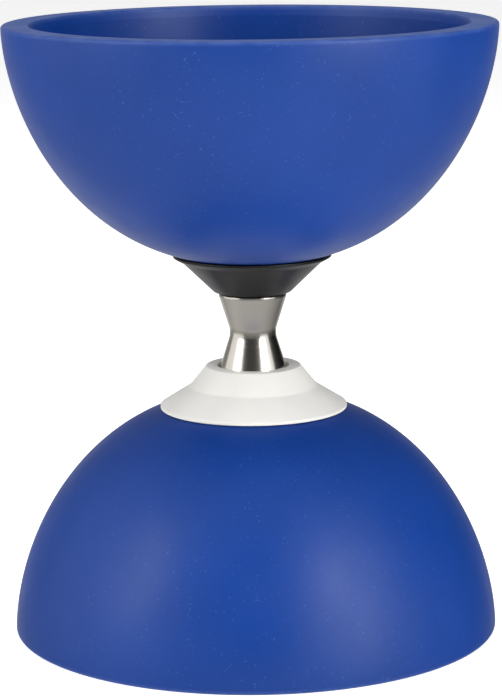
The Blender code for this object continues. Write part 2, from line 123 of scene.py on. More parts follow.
SEAT_STEPS = 12
HUB_RUNNING_GAP = 0.4 * MM
CLOSE_GAP = 0.1 * MM

# Bobbin.
WAIST_RADIUS = 6.0 * MM
WAIST_LENGTH = 2.0 * MM
WAIST_ROUND = 3.5 * MM
BOBBIN_CHAMFER = 0.3 * MM
BOBBIN_CHAMFER_ROUND = 0.12 * MM
BOBBIN_BAND = 0.8 * MM
BOBBIN_BORE_RADIUS = 4.6 * MM
BEARING_SEAT_RADIUS = 6.1 * MM
BEARING_SEAT_DEPTH = 4.3 * MM

# Bearings.
BEARING_BORE_RADIUS = 3.0 * MM
BEARING_RADIUS = 6.0 * MM
INNER_SHOULDER_RADIUS = 4.05 * MM
OUTER_SHOULDER_RADIUS = 4.95 * MM
SHIELD_SEAT_RADIUS = 5.5 * MM
SHIELD_SEAT_DEPTH = 0.45 * MM
PITCH_RADIUS = 4.5 * MM
BALL_RADIUS = 0.79 * MM
BALL_COUNT = 7
RACE_CLEARANCE = 0.05 * MM
CAGE_INNER_RADIUS = 4.25 * MM
CAGE_OUTER_RADIUS = 4.75 * MM
CAGE_EDGE = 0.08 * MM
CAGE_SIDES = 168
POCKET_RADIUS = 0.88 * MM
SPHERE_SIDES = 48
SPHERE_STEPS = 24
POCKET_SIDES = 32
POCKET_STEPS = 16
GROOVE_STEPS = 10

# Bolt and nut.
BOLT_RADIUS = 2.9 * MM
THREAD_PITCH = 1.0 * MM
THREAD_DEPTH = 0.5 * MM
THREAD_LENGTH = 12.0 * MM
SOCKET_ACROSS_FLATS = 5.0 * MM
SOCKET_DEPTH = 3.2 * MM
KNURL_COUNT = 60
KNURL_DEPTH = 0.12 * MM
ROWS_PER_PITCH = 8
HEAD_EDGE = 0.35 * MM
HEAD_ROUND = 0.6 * MM
SOCKET_CHAMFER = 0.25 * MM
SOCKET_CONE_DEPTH = 0.9 * MM
NUT_HEX_HEIGHT = 4.4 * MM
NUT_CHAMFER = 0.25 * MM
NUT_CHAMFER_HEIGHT = 0.5 * MM
NUT_CHAMFER_STEPS = 5
COLLAR_RADIUS = 4.6 * MM
COLLAR_MOUTH_RADIUS = 3.5 * MM
COLLAR_LIP = 0.4 * MM
INSERT_POCKET_RADIUS = 4.1 * MM
INSERT_POCKET_DEPTH = 1.7 * MM
FASTENER_SIDES = 240

# Clamp plates, and the bores of the plain rings, by the ends of their nodes' names.
PLATE_SINK = 0.4 * MM
PLATE_EDGE_ROUND = 0.6 * MM
PLATE_ROLL_WIDTH = 2.4 * MM
PLATE_SEAT_RADIUS = 7.7 * MM
PLATE_STEP_WIDTH = 0.5 * MM
RING_BORES = {
    "shim_ring": 3.0 * MM,
    "spacer_tube": 3.0 * MM,
    "shield": 4.25 * MM,
    "insert": 3.0 * MM,
    "washer": 3.2 * MM,
}

# Facets round a piece, and the angles that an arc's step and a sharp edge have.
BIG_SIDES = 256
HUB_SIDES = 192
SMALL_SIDES = 128
ARC_STEP = math.radians(9)
SHARP_ANGLE = math.radians(32)


# ---- materials -----------------------------------------------------------------------------------


class Surface:
    """A material being built: its node tree, and the Principled shader at its end."""

    def __init__(self, name, colour, roughness, metallic=0.0, specular=0.5):
        self.material = bpy.data.materials.new(name)
        self.material.use_nodes = True
        self.tree = self.material.node_tree
        self.shader = self.tree.nodes["Principled BSDF"]
        self.colour = colour
        self.set(self.shader, "Base Color", (*colour, 1))
        self.set(self.shader, "Roughness", roughness)
        self.set(self.shader, "Metallic", metallic)
        self.set(self.shader, "Specular IOR Level", specular)
        self.place = self.node("ShaderNodeTexCoord").outputs["Object"]

    def node(self, kind, **inputs):
        made = self.tree.nodes.new(kind)
        for name, value in inputs.items():
            self.set(made, name.replace("_", " "), value)
        return made

    def set(self, node, socket, value):
        """Links an output to the socket, or sets its value."""
        if isinstance(value, bpy.types.NodeSocket):
            self.tree.links.new(value, node.inputs[socket])
        else:
            node.inputs[socket].default_value = value

    def stretched(self, scale):
        """The object coordinates scaled by (x, y, z)."""
        mapping = self.node("ShaderNodeMapping", Vector=self.place, Scale=scale)
        return mapping.outputs["Vector"]

    def noise(self, scale, detail=2.0, roughness=0.5, vector=None):
        made = self.node(
            "ShaderNodeTexNoise",
            Vector=vector or self.place,
            Scale=scale,
            Detail=detail,
            Roughness=roughness,
        )
        return made.outputs["Fac"]

    def between(self, value, low, high, to_low=0.0, to_high=1.0):
        """value taken from the range low..high to another one, and kept inside it."""
        made = self.node("ShaderNodeMapRange", Value=value)
        self.set(made, "From Min", low)
        self.set(made, "From Max", high)
        self.set(made, "To Min", to_low)
        self.set(made, "To Max", to_high)
        return made.outputs["Result"]

    def maths(self, operation, first, second):
        made = self.tree.nodes.new("ShaderNodeMath")
        made.operation = operation
        for index, value in enumerate((first, second)):
            self.set(made, index, value)
        return made.outputs[0]

    def mixed(self, factor, first, second):
        """A colour between two colours, each a tuple or an output."""
        made = self.tree.nodes.new("ShaderNodeMix")
        made.data_type = "RGBA"
        colour_inputs = [socket for socket in made.inputs if socket.type == "RGBA"]
        self.set(made, 0, factor)
        for socket, value in zip(colour_inputs, (first, second)):
            if isinstance(value, bpy.types.NodeSocket):
                self.tree.links.new(value, socket)
            else:
                socket.default_value = (*value, 1)
        return next(socket for socket in made.outputs if socket.type == "RGBA")

    def height(self):
        """The height from the middle of the object, the same way up for both halves."""
        parts = self.node("ShaderNodeSeparateXYZ", Vector=self.place)
        return self.maths("ABSOLUTE", parts.outputs["Z"], 0.0)

    def radius(self):
        flat = self.stretched((1, 1, 0))
        made = self.tree.nodes.new("ShaderNodeVectorMath")
        made.operation = "LENGTH"
        self.tree.links.new(flat, made.inputs[0])
        return made.outputs["Value"]

    def paint(self, colour):
        self.set(self.shader, "Base Color", colour)

    def roughen(self, value):
        self.set(self.shader, "Roughness", value)

    def bump(self, height, distance, strength=1.0):
        """Adds a layer of relief of this depth on top of those before it."""
        made = self.node("ShaderNodeBump", Height=height, Distance=distance, Strength=strength)
        earlier = self.shader.inputs["Normal"].links
        if earlier:
            self.set(made, "Normal", earlier[0].from_socket)
        self.set(self.shader, "Normal", made.outputs["Normal"])


def tinted(colour, share):
    return tuple(channel * share for channel in colour)


def dusted(surface, colour, dust, amount):
    """Sparse pale specks over a colour."""
    specks = surface.noise(1500, detail=1.0)
    mask = surface.between(specks, 0.70, 0.76, 0.0, amount)
    return surface.mixed(mask, colour, dust)


def rubber():
    surface = Surface("blue_rubber", (0.0030, 0.034, 0.204), 0.38, specular=0.26)
    blue = surface.colour
    cloud = surface.between(surface.noise(28, detail=4.0), 0.35, 0.65)
    base = surface.mixed(cloud, tinted(blue, 0.94), tinted(blue, 1.06))
    # The top of the rim is painted a lighter blue, a painted highlight where the overhead light falls on
    # it, broken into patches by noise.
    rim = surface.between(surface.height(), 77.0 * MM, RIM_HEIGHT)
    rim_light_patches = surface.between(surface.noise(260, detail=3.0), 0.30, 0.70, 0.4)
    painted_rim_light = surface.mixed(surface.maths("MULTIPLY", rim, rim_light_patches), base, (0.045, 0.085, 0.260))
    surface.paint(dusted(surface, painted_rim_light, (0.10, 0.16, 0.36), 0.3))
    surface.roughen(surface.between(surface.noise(60, detail=3.0), 0.3, 0.7, 0.38, 0.48))
    surface.bump(surface.noise(2600, detail=2.0), 0.012 * MM)
    surface.bump(surface.noise(90, detail=2.0), 0.05 * MM)
    return surface.material


def plastic(name, colour, roughness, grain=0.010 * MM, specular=0.5):
    surface = Surface(name, colour, roughness, specular=specular)
    cloud = surface.between(surface.noise(70, detail=3.0), 0.35, 0.65)
    base = surface.mixed(cloud, tinted(colour, 0.96), tinted(colour, 1.03))
    surface.paint(dusted(surface, base, tinted(colour, 0.8), 0.25))
    rough = surface.noise(180, detail=3.0)
    surface.roughen(surface.between(rough, 0.3, 0.7, roughness - 0.04, roughness + 0.06))
    surface.bump(surface.noise(3000), grain)
    return surface.material


def turned_steel(name, colour, roughness, line_depth=0.004 * MM):
    """Metal with the fine rings that a lathe and a polishing cloth leave."""
    surface = Surface(name, colour, roughness, 1.0)
    rings = surface.noise(2200, detail=3.0, vector=surface.stretched((0.004, 0.004, 1)))
    smears = surface.noise(120, detail=3.0)
    surface.paint(surface.mixed(surface.between(smears, 0.4, 0.7), colour, tinted(colour, 0.93)))
    surface.roughen(surface.between(rings, 0.3, 0.7, roughness - 0.03, roughness + 0.05))
    surface.bump(rings, line_depth)
    return surface.material


def zinc_plate():
    surface = Surface("zinc_plated_steel", (0.56, 0.58, 0.60), 0.32, 1.0)
    spangle = surface.between(surface.noise(420, detail=3.0), 0.35, 0.65)
    surface.paint(surface.mixed(spangle, (0.50, 0.52, 0.55), (0.62, 0.63, 0.63)))
    surface.roughen(surface.between(surface.noise(700, detail=2.0), 0.3, 0.7, 0.26, 0.40))
    surface.bump(surface.noise(1800, detail=2.0), 0.008 * MM)
    return surface.material


MATERIALS = {
    "blue_rubber": rubber(),
    "black_plastic": plastic("black_plastic", (0.008, 0.0075, 0.009), 0.36, specular=0.30),
    "white_plastic": plastic("white_plastic", (0.74, 0.725, 0.675), 0.38),
    "polished_steel": turned_steel("polished_steel", (0.79, 0.75, 0.68), 0.19),
    "bearing_steel": turned_steel("bearing_steel", (0.66, 0.66, 0.66), 0.20, 0.002 * MM),
    "zinc_plated_steel": zinc_plate(),
    "brown_nylon": plastic("brown_nylon", (0.33, 0.22, 0.11), 0.45),
    "blue_nylon": plastic("blue_nylon", (0.05, 0.16, 0.42), 0.45),
}


# ---- turned shapes -------------------------------------------------------------------------------


def arc_points(before, corner, after, radius):
    """Points of the arc that rounds the corner off, closer together on a sharper turn."""
    corner = Vector(corner)
    back = (Vector(before) - corner).normalized()
    ahead = (Vector(after) - corner).normalized()
    half_angle = back.angle(ahead) / 2
    centre = corner + (back + ahead).normalized() * (radius / math.sin(half_angle))
    reach = radius / math.tan(half_angle)
    start = corner + back * reach - centre
    end = corner + ahead * reach - centre
    steps = max(2, math.ceil((math.pi - 2 * half_angle) / ARC_STEP))
    return [tuple(centre + start.slerp(end, step / steps) * radius) for step in range(steps + 1)]


def rounded(corners):
    """A closed outline through (radius, z) corners, where a third number rounds that corner off."""
    outline = []
    for index, corner in enumerate(corners):
        before = corners[index - 1][:2]
        after = corners[(index + 1) % len(corners)][:2]
        if len(corner) == 3 and corner[2] > 0:
            outline += arc_points(before, corner[:2], after, corner[2])
        else:
            outline.append(tuple(corner[:2]))
    return outline


def on_side(side, corners):
    """The same corners with their heights on that side of the middle."""
    return [(corner[0], side * corner[1], *corner[2:]) for corner in corners]


def swept_mesh(name, rows, sides):
    """The solid inside closed rows of (radius, z), where a radius may be a function of the angle round Z.
    A row on the axis becomes a single pole."""
    vertices, rings = [], []
    for radius, z in rows:
        radius_at = radius if callable(radius) else lambda turn, same=radius: same
        count = 1 if radius_at(0.0) < 1e-7 else sides
        first = len(vertices)
        rings.append([first + index % count for index in range(sides)])
        for index in range(count):
            turn = math.tau * index / sides
            vertices.append((radius_at(turn) * math.cos(turn), radius_at(turn) * math.sin(turn), z))
    faces = []
    for ring, following in zip(rings, rings[1:] + rings[:1]):
        for index in range(sides):
            after = (index + 1) % sides
            corners = (ring[index], ring[after], following[after], following[index])
            face = tuple(dict.fromkeys(corners))
            if len(face) > 2:
                faces.append(face)
    mesh = bpy.data.meshes.new(name)
    mesh.from_pydata(vertices, [], faces)
    return mesh


def faces_out(mesh):
    """Turns the faces outwards, where the mesh's volume comes out negative."""
    mesh.calc_loop_triangles()
    volume = 0.0
    for triangle in mesh.loop_triangles:
        a, b, c = (mesh.vertices[index].co for index in triangle.vertices)
        volume += a.dot(b.cross(c))
    if volume < 0:
        mesh.flip_normals()


def add_piece(node, mesh, slot, body):
    """A piece that stands for the CAD node of the same name and rides on its body."""
    mesh.materials.append(MATERIALS[slot])
    faces_out(mesh)
    mesh.shade_smooth()
    mesh.set_sharp_from_angle(angle=SHARP_ANGLE)
    piece = bpy.data.objects.new("fine_" + node, mesh)
    bpy.context.scene.collection.objects.link(piece)
    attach(piece, body)
    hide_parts(node)
    return piece


def turned_piece(node, corners, slot, body="cup_assembly", sides=SMALL_SIDES):
    return add_piece(node, swept_mesh(node, rounded(corners), sides), slot, body)


def span(node):
    """The CAD node's lowest and highest z."""
    low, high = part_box(node)
    return low.z, high.z


def width(node):
    """The CAD node's largest radius."""
    low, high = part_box(node)
    return (high.x - low.x) / 2


def heights(side, node):
    """The CAD node's nearest and farthest heights from the middle."""
    return sorted(side * z for z in span(node))


# ---- cups ----------------------------------------------------------------------------------------


def cup_outside(turn):
    """The (radius, height) of the cup's outside at this angle of its superellipse: 0 is the rim."""
    radius = CUP_RADIUS * math.cos(turn) ** (2 / CUP_ROUND_POWER)
    depth = CUP_DEPTH * math.sin(turn) ** (2 / CUP_DEPTH_POWER)
    return radius, RIM_HEIGHT - depth


def cup_turn_at(radius):
    """The superellipse angle at which the outside has this radius."""
    return math.acos((radius / CUP_RADIUS) ** (CUP_ROUND_POWER / 2))


def cup_offset(turn, distance):
    """A point this far inside the cup's outer surface, or outside it where the distance is negative."""
    nearby = 1e-4
    before = Vector(cup_outside(turn - nearby))
    after = Vector(cup_outside(turn + nearby))
    along = (after - before).normalized()
    return tuple(Vector(cup_outside(turn)) + Vector((along.y, -along.x)) * distance)


def cup_corners():
    """The rim's outer corner, the outside, the hole, the bowl's inside, and the bevelled mouth."""
    last_turn = cup_turn_at(CUP_FLOOR_RADIUS)
    step_turn = (last_turn - CUP_FIRST_TURN) / (CUP_STEPS - 1)
    turns = [CUP_FIRST_TURN + step_turn * step for step in range(CUP_STEPS)]
    outside = [cup_outside(turn) for turn in turns]
    walls = [CUP_WALL + (CUP_FLOOR - CUP_WALL) * turn / last_turn for turn in turns]
    inside = [cup_offset(turn, wall) for turn, wall in zip(turns, walls)]
    bowl = [point for point in reversed(inside) if point[0] < MOUTH_FOOT_RADIUS]
    rim_inner = CUP_RADIUS - RIM_WIDTH
    return (
        [(CUP_RADIUS, RIM_HEIGHT, RIM_ROUND)]
        + outside
        + [(CUP_HOLE_RADIUS, outside[-1][1], GAP), (CUP_HOLE_RADIUS, inside[-1][1], GAP)]
        + bowl
        + [(MOUTH_FOOT_RADIUS, bowl[-1][1] + MOUTH_FOOT_RISE)]
        + [(rim_inner - BEVEL_WIDTH, RIM_HEIGHT - BEVEL_HEIGHT, BEVEL_ROUND)]
        + [(rim_inner, RIM_HEIGHT, SOFT_EDGE)]
    )


def add_cup(side):
    turned_piece(SIDE_NAMES[side] + "_cup", on_side(side, cup_corners()), "blue_rubber", sides=BIG_SIDES)


# ---- hubs ----------------------------------------------------------------------------------------


def hub_seat_corners(side, flange_radius):
    """The hub's face against the cup, from the flange's edge inwards, with its core groove and spigot."""
    first_turn = cup_turn_at(flange_radius - 0.2 * MM)
    last_turn = cup_turn_at(CUP_FLOOR_RADIUS)
    step_turn = (last_turn - first_turn) / SEAT_STEPS
    turns = [first_turn + step_turn * step for step in range(SEAT_STEPS + 1)]
    seat = [cup_offset(turn, -GAP) for turn in turns]
    low = seat[-1][1]
    end = heights(side, SIDE_NAMES[side] + "_hub")[1]
    edge = BROKEN_EDGE
    return seat + [
        (CORE_OUTER_RADIUS, low, edge),
        (CORE_OUTER_RADIUS - edge, low - CORE_DEPTH, edge),
        (CORE_INNER_RADIUS + edge, low - CORE_DEPTH, edge),
        (CORE_INNER_RADIUS, low, edge),
        (SPIGOT_RADIUS, low),
        (SPIGOT_RADIUS, end, edge),
        (BOLT_HOLE_RADIUS, end, edge / 2),
    ]


def flange_edge_corners(edge):
    """The flange's front edge, and its back edge near the cup."""
    radius, height = edge
    cup_height = cup_outside(cup_turn_at(radius))[1]
    return [(radius, height, BROKEN_EDGE), (radius, cup_height - GAP, FLANGE_BACK_ROUND)]


def shim_pocket_corners(side):
    floor = heights(side, SIDE_NAMES[side] + "_shim_ring")[1] + CLOSE_GAP
    return [(BOLT_HOLE_RADIUS, floor), (SHIM_POCKET_RADIUS, floor)]


def add_upper_hub():
    face = span("upper_hub")[0]
    corners = (
        shim_pocket_corners(UPPER)
        + [(SHIM_POCKET_RADIUS, face, MACHINED_EDGE)]
        + [(UPPER_HUB_END_RADIUS, face, UPPER_HUB_END_ROUND)]
        + [(*UPPER_HUB_CREASE, SOFT_EDGE)]
        + flange_edge_corners(UPPER_FLANGE_EDGE)
        + hub_seat_corners(UPPER, UPPER_FLANGE_EDGE[0])
    )
    turned_piece("upper_hub", corners, "black_plastic", sides=HUB_SIDES)


def add_lower_hub():
    face = -span("lower_hub")[1]
    recess_floor = heights(LOWER, "axle_bobbin")[1] + HUB_RUNNING_GAP
    corners = (
        shim_pocket_corners(LOWER)
        + [(SHIM_POCKET_RADIUS, recess_floor, MACHINED_EDGE)]
        + [(LOWER_RECESS_RADIUS, recess_floor, BROKEN_EDGE)]
        + [(LOWER_RECESS_RADIUS, face, BROKEN_EDGE)]
        + [(LOWER_HUB_FACE_RADIUS, face, LOWER_HUB_FACE_ROUND)]
        + [(*LOWER_HUB_CREASE, LOWER_HUB_CREASE_ROUND)]
        + flange_edge_corners(LOWER_FLANGE_EDGE)
        + hub_seat_corners(LOWER, LOWER_FLANGE_EDGE[0])
    )
    turned_piece("lower_hub", on_side(LOWER, corners), "white_plastic", sides=HUB_SIDES)


# ---- bobbin and bearings -------------------------------------------------------------------------


def add_bobbin():
    """An hourglass that ends in a narrow straight band, with a bearing seat bored into each end."""
    low, high = span("axle_bobbin")
    middle = (low + high) / 2
    end = width("axle_bobbin")
    corners = [
        (BEARING_SEAT_RADIUS, high, MACHINED_EDGE),
        (end - BOBBIN_CHAMFER, high, CRISP_EDGE),
        (end, high - BOBBIN_CHAMFER, BOBBIN_CHAMFER_ROUND),
        (end, high - BOBBIN_BAND, BROKEN_EDGE),
        (WAIST_RADIUS, middle + WAIST_LENGTH / 2, WAIST_ROUND),
        (WAIST_RADIUS, middle - WAIST_LENGTH / 2, WAIST_ROUND),
        (end, low + BOBBIN_BAND, BROKEN_EDGE),
        (end, low + BOBBIN_CHAMFER, BOBBIN_CHAMFER_ROUND),
        (end - BOBBIN_CHAMFER, low, CRISP_EDGE),
        (BEARING_SEAT_RADIUS, low, MACHINED_EDGE),
        (BEARING_SEAT_RADIUS, low + BEARING_SEAT_DEPTH),
        (BOBBIN_BORE_RADIUS, low + BEARING_SEAT_DEPTH, MACHINED_EDGE),
        (BOBBIN_BORE_RADIUS, high - BEARING_SEAT_DEPTH, MACHINED_EDGE),
        (BEARING_SEAT_RADIUS, high - BEARING_SEAT_DEPTH),
    ]
    turned_piece("axle_bobbin", corners, "polished_steel", "bobbin", BIG_SIDES)


def ring_corners(inner, outer, low, high, edge):
    return [(inner, low, edge), (outer, low, edge), (outer, high, edge), (inner, high, edge)]


def race_groove(shoulder, bottom, middle):
    """Points of a ball groove, from below the balls' plane to above it."""
    half_mouth = math.sqrt(BALL_RADIUS**2 - (PITCH_RADIUS - shoulder) ** 2)
    points = []
    for step in range(GROOVE_STEPS + 1):
        height = half_mouth * (2 * step / GROOVE_STEPS - 1)
        share = 1 - (height / half_mouth) ** 2
        points.append((shoulder + (bottom - shoulder) * share, middle + height))
    return points


def inner_race_corners(low, high):
    bottom = PITCH_RADIUS - BALL_RADIUS - RACE_CLEARANCE
    groove = race_groove(INNER_SHOULDER_RADIUS, bottom, (low + high) / 2)
    return (
        [(BEARING_BORE_RADIUS, low, MACHINED_EDGE), (INNER_SHOULDER_RADIUS, low, MACHINED_EDGE)]
        + groove
        + [(INNER_SHOULDER_RADIUS, high, MACHINED_EDGE), (BEARING_BORE_RADIUS, high, MACHINED_EDGE)]
    )


def outer_race_corners(low, high):
    """The outer ring, with a step at each end for a shield."""
    bottom = PITCH_RADIUS + BALL_RADIUS + RACE_CLEARANCE
    groove = race_groove(OUTER_SHOULDER_RADIUS, bottom, (low + high) / 2)
    low_seat = low + SHIELD_SEAT_DEPTH
    high_seat = high - SHIELD_SEAT_DEPTH
    return (
        [(BEARING_RADIUS, low, MACHINED_EDGE), (SHIELD_SEAT_RADIUS, low), (SHIELD_SEAT_RADIUS, low_seat)]
        + [(OUTER_SHOULDER_RADIUS, low_seat)]
        + groove
        + [(OUTER_SHOULDER_RADIUS, high_seat)]
        + [(SHIELD_SEAT_RADIUS, high_seat), (SHIELD_SEAT_RADIUS, high)]
        + [(BEARING_RADIUS, high, MACHINED_EDGE)]
    )


def half_circle(radius, steps):
    """The (radius, z) points of a sphere's outline, from its lower pole to its upper one."""
    points = [(0.0, -radius)]
    for step in range(1, steps):
        turn = math.pi * step / steps - math.pi / 2
        points.append((radius * math.cos(turn), radius * math.sin(turn)))
    return points + [(0.0, radius)]


def add_ball(node, body):
    low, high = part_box(node)
    mesh = swept_mesh(node, half_circle(BALL_RADIUS, SPHERE_STEPS), SPHERE_SIDES)
    mesh.transform(Matrix.Translation((low + high) / 2))
    add_piece(node, mesh, "bearing_steel", body)


def add_cage(side):
    """A crown cage: a ring whose round pockets open towards the bobbin's end."""
    node = SIDE_NAMES[side] + "_bearing_cage"
    low, high = span(node)
    middle = sum(span(SIDE_NAMES[side] + "_bearing_inner_ring")) / 2
    corners = ring_corners(CAGE_INNER_RADIUS, CAGE_OUTER_RADIUS, low, high, CAGE_EDGE)
    cage = turned_piece(node, corners, "brown_nylon", SIDE_NAMES[side] + "_ball_set", CAGE_SIDES)
    for index in range(BALL_COUNT):
        turn = math.tau * index / BALL_COUNT
        centre = (PITCH_RADIUS * math.cos(turn), PITCH_RADIUS * math.sin(turn), middle)
        pocket = swept_mesh("pocket", half_circle(POCKET_RADIUS, POCKET_STEPS), POCKET_SIDES)
        pocket.transform(Matrix.Translation(centre))
        faces_out(pocket)
        cut_out(cage, pocket)


def cut_out(piece, cutter_mesh):
    """Takes the cutter's closed mesh out of the piece, for good."""
    cutter = bpy.data.objects.new("cutter", cutter_mesh)
    bpy.context.scene.collection.objects.link(cutter)
    modifier = piece.modifiers.new("cut", "BOOLEAN")
    modifier.object = cutter
    bpy.context.view_layer.update()
    graph = bpy.context.evaluated_depsgraph_get()
    whole = piece.data
    piece.data = bpy.data.meshes.new_from_object(piece.evaluated_get(graph), depsgraph=graph)
    piece.modifiers.clear()
    bpy.data.meshes.remove(whole)
    bpy.data.objects.remove(cutter)
    piece.data.set_sharp_from_angle(angle=SHARP_ANGLE)


def add_bearing(side):
    name = SIDE_NAMES[side] + "_bearing"
    low, high = span(name + "_inner_ring")
    turned_piece(name + "_inner_ring", inner_race_corners(low, high), "bearing_steel")
    turned_piece(name + "_outer_ring", outer_race_corners(low, high), "bearing_steel", "bobbin")


def add_flat_rings():
    """Shims, spacer, shields, washers and the nut's insert, sized by their CAD nodes."""
    slots = {"shield": "bearing_steel", "insert": "blue_nylon"}
    for node in sorted(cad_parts):
        ending = next((end for end in RING_BORES if node.endswith(end)), None)
        if ending is None:
            continue
        low, high = span(node)
        edge = min(0.2 * MM, (high - low) / 4)
        corners = ring_corners(RING_BORES[ending], width(node), low, high, edge)
        body = "bobbin" if ending == "shield" else "cup_assembly"
        turned_piece(node, corners, slots.get(ending, "zinc_plated_steel"), body)


# ---- bolt, nut and plates ------------------------------------------------------------------------


def hexagon(across_flats, most=1.0):
    """A hexagon's radius at each angle, kept within a round of radius most."""

    def radius(turn):
        from_flat = (turn + math.pi / 6) % (math.pi / 3) - math.pi / 6
        return min(across_flats / 2 / math.cos(from_flat), most)

    return radius


def thread_row(crest, z):
    """The radius of a right-hand thread at each angle of the row at this z."""

    def radius(turn):
        phase = (z / THREAD_PITCH - turn / math.tau) % 1.0
        ramp = min(max(abs(2 * phase - 1) * 1.3 - 0.15, 0.0), 1.0)
        return crest - THREAD_DEPTH * ramp

    return radius


def knurled(outer):
    """The radius of a head with fine ridges along it."""

    def radius(turn):
        return outer - KNURL_DEPTH * (0.5 - 0.5 * math.cos(KNURL_COUNT * turn))

    return radius


def add_bolt():
    """A socket-head cap screw, head up: its thread, shank, knurled head and hexagonal socket."""
    low, high = span("through_bolt")
    head = width("through_bolt")
    seat = heights(UPPER, "upper_washer")[1] + GAP
    thread_rows = round(THREAD_LENGTH / THREAD_PITCH * ROWS_PER_PITCH)
    rows = [(0.0, low), (BOLT_RADIUS - THREAD_DEPTH - CRISP_EDGE, low)]
    for index in range(1, thread_rows):
        z = low + THREAD_LENGTH * index / thread_rows
        crest = min(BOLT_RADIUS, BOLT_RADIUS - THREAD_DEPTH + (z - low))
        rows.append((thread_row(crest, z), z))
    edge = HEAD_EDGE
    rows += [(BOLT_RADIUS, low + THREAD_LENGTH + edge), (BOLT_RADIUS, seat - edge)]
    rows += [(BOLT_RADIUS + edge, seat), (head - edge, seat), (head, seat + edge)]
    rows += [(knurled(head), seat + 2 * edge), (knurled(head), high - 3 * edge), (head, high - 2 * edge)]
    rows += arc_points((head, seat), (head, high), (0.0, high), HEAD_ROUND)
    rim = SOCKET_ACROSS_FLATS / 2 / math.cos(math.pi / 6) + MACHINED_EDGE
    rows += [(rim, high), (hexagon(SOCKET_ACROSS_FLATS), high - SOCKET_CHAMFER)]
    rows += [(hexagon(SOCKET_ACROSS_FLATS), high - SOCKET_DEPTH)]
    rows += [(0.0, high - SOCKET_DEPTH - SOCKET_CONE_DEPTH)]
    mesh = swept_mesh("through_bolt", rows, FASTENER_SIDES)
    add_piece("through_bolt", mesh, "zinc_plated_steel", "cup_assembly")


def nut_chamfer(half_flats, corner):
    """The chamfer of a nut's corners: each row's largest radius, and how far the row is from the face."""
    start = half_flats - NUT_CHAMFER
    shares = [step / NUT_CHAMFER_STEPS for step in range(NUT_CHAMFER_STEPS + 1)]
    return [(start + (corner - start) * share, NUT_CHAMFER_HEIGHT * share) for share in shares]


def add_nut():
    """A hexagon with chamfered corners, then a round collar with the insert's pocket in it."""
    seat, end = heights(LOWER, "lock_nut")
    flats = width("lock_nut") * 2
    corner = flats / 2 / math.cos(math.pi / 6)
    hex_end = seat + NUT_HEX_HEIGHT
    chamfer = nut_chamfer(flats / 2, corner)
    rows = [(BOLT_HOLE_RADIUS, seat + BROKEN_EDGE), (BOLT_HOLE_RADIUS + BROKEN_EDGE, seat)]
    rows += [(hexagon(flats, most), seat + rise) for most, rise in chamfer]
    rows += [(hexagon(flats, most), hex_end - rise) for most, rise in reversed(chamfer)]
    collar, mouth, lip = COLLAR_RADIUS, COLLAR_MOUTH_RADIUS, end - COLLAR_LIP
    rows += arc_points((corner, hex_end), (collar, hex_end), (collar, end), BROKEN_EDGE)
    rows += arc_points((collar, hex_end), (collar, end), (mouth, end), SOFT_EDGE)
    rows += arc_points((collar, end), (mouth, end), (mouth, lip), MACHINED_EDGE)
    floor = lip - INSERT_POCKET_DEPTH
    rows += [(mouth, lip), (INSERT_POCKET_RADIUS, lip), (INSERT_POCKET_RADIUS, floor)]
    rows += [(BOLT_HOLE_RADIUS, floor)]
    rows = [(radius, -height) for radius, height in rows]
    mesh = swept_mesh("lock_nut", rows, FASTENER_SIDES)
    add_piece("lock_nut", mesh, "zinc_plated_steel", "cup_assembly")


def add_plate(side):
    """A pressed plate: a flat seat for the washer, a shallow step, and a rolled edge."""
    node = SIDE_NAMES[side] + "_clamp_plate"
    low, high = heights(side, node)
    outer = width(node)
    roll = outer - PLATE_ROLL_WIDTH
    sunk = high - PLATE_SINK
    corners = [
        (BOLT_HOLE_RADIUS, low, MACHINED_EDGE),
        (outer, low, BROKEN_EDGE),
        (outer, high, PLATE_EDGE_ROUND),
        (roll, high, BROKEN_EDGE),
        (roll - PLATE_STEP_WIDTH, sunk, BROKEN_EDGE),
        (PLATE_SEAT_RADIUS + PLATE_STEP_WIDTH, sunk, BROKEN_EDGE),
        (PLATE_SEAT_RADIUS, high, BROKEN_EDGE),
        (BOLT_HOLE_RADIUS, high, MACHINED_EDGE),
    ]
    turned_piece(node, on_side(side, corners), "zinc_plated_steel")


# ---- stage, light and camera ---------------------------------------------------------------------


FLOOR_HALF_WIDTH = 6.0

# The room's soft glows: the way each one lies from the object, the cosine at which it fades out, how
# strongly it lights, and how bright its reflection is.
ROOM_GLOW = (
    ((0, 0, 1), -0.1, 0.25, 0.10),
    ((-1, 0.7, 0.1), -0.1, 0.50, 0.20),
    ((0, -0.2, -1), -0.1, 0.60, 0.50),
    ((0, 1, -0.5), 0.7, 0.20, 0.50),
)
FULL_GLOW_COSINE = 0.95

# The lamps: azimuth and elevation in degrees, where azimuth 0 is towards the camera and positive is to its
# right, then distance and size in metres, watts, and whether the object mirrors it.
LAMPS = {
    "left_window": (-80, 18, 1.0, (1.5, 1.2), 3.7, True),
    "left_lamp": (-62, 24, 0.98, (0.4, 0.7), 3.6, True),
    "right_softbox": (57, 20, 1.0, (0.9, 1.2), 3.0, True),
    "right_lamp": (46, 18, 0.98, (0.32, 0.65), 6.5, True),
    "overhead_softbox": (0, 80, 1.0, (0.9, 0.8), 7, False),
}


def add_floor(low):
    """A wide pale table top that glows a little, as an overexposed white sweep does."""
    surface = Surface("pale_table", (0.86, 0.86, 0.86), 0.55)
    surface.set(surface.shader, "Emission Color", (1, 1, 1, 1))
    surface.set(surface.shader, "Emission Strength", 0.6)
    half = FLOOR_HALF_WIDTH
    mesh = bpy.data.meshes.new("floor")
    corners = [(-half, -half, low), (half, -half, low), (half, half, low), (-half, half, low)]
    mesh.from_pydata(corners, [], [(0, 1, 2, 3)])
    mesh.materials.append(surface.material)
    floor = bpy.data.objects.new("floor", mesh)
    floor.visible_glossy = False
    bpy.context.scene.collection.objects.link(floor)


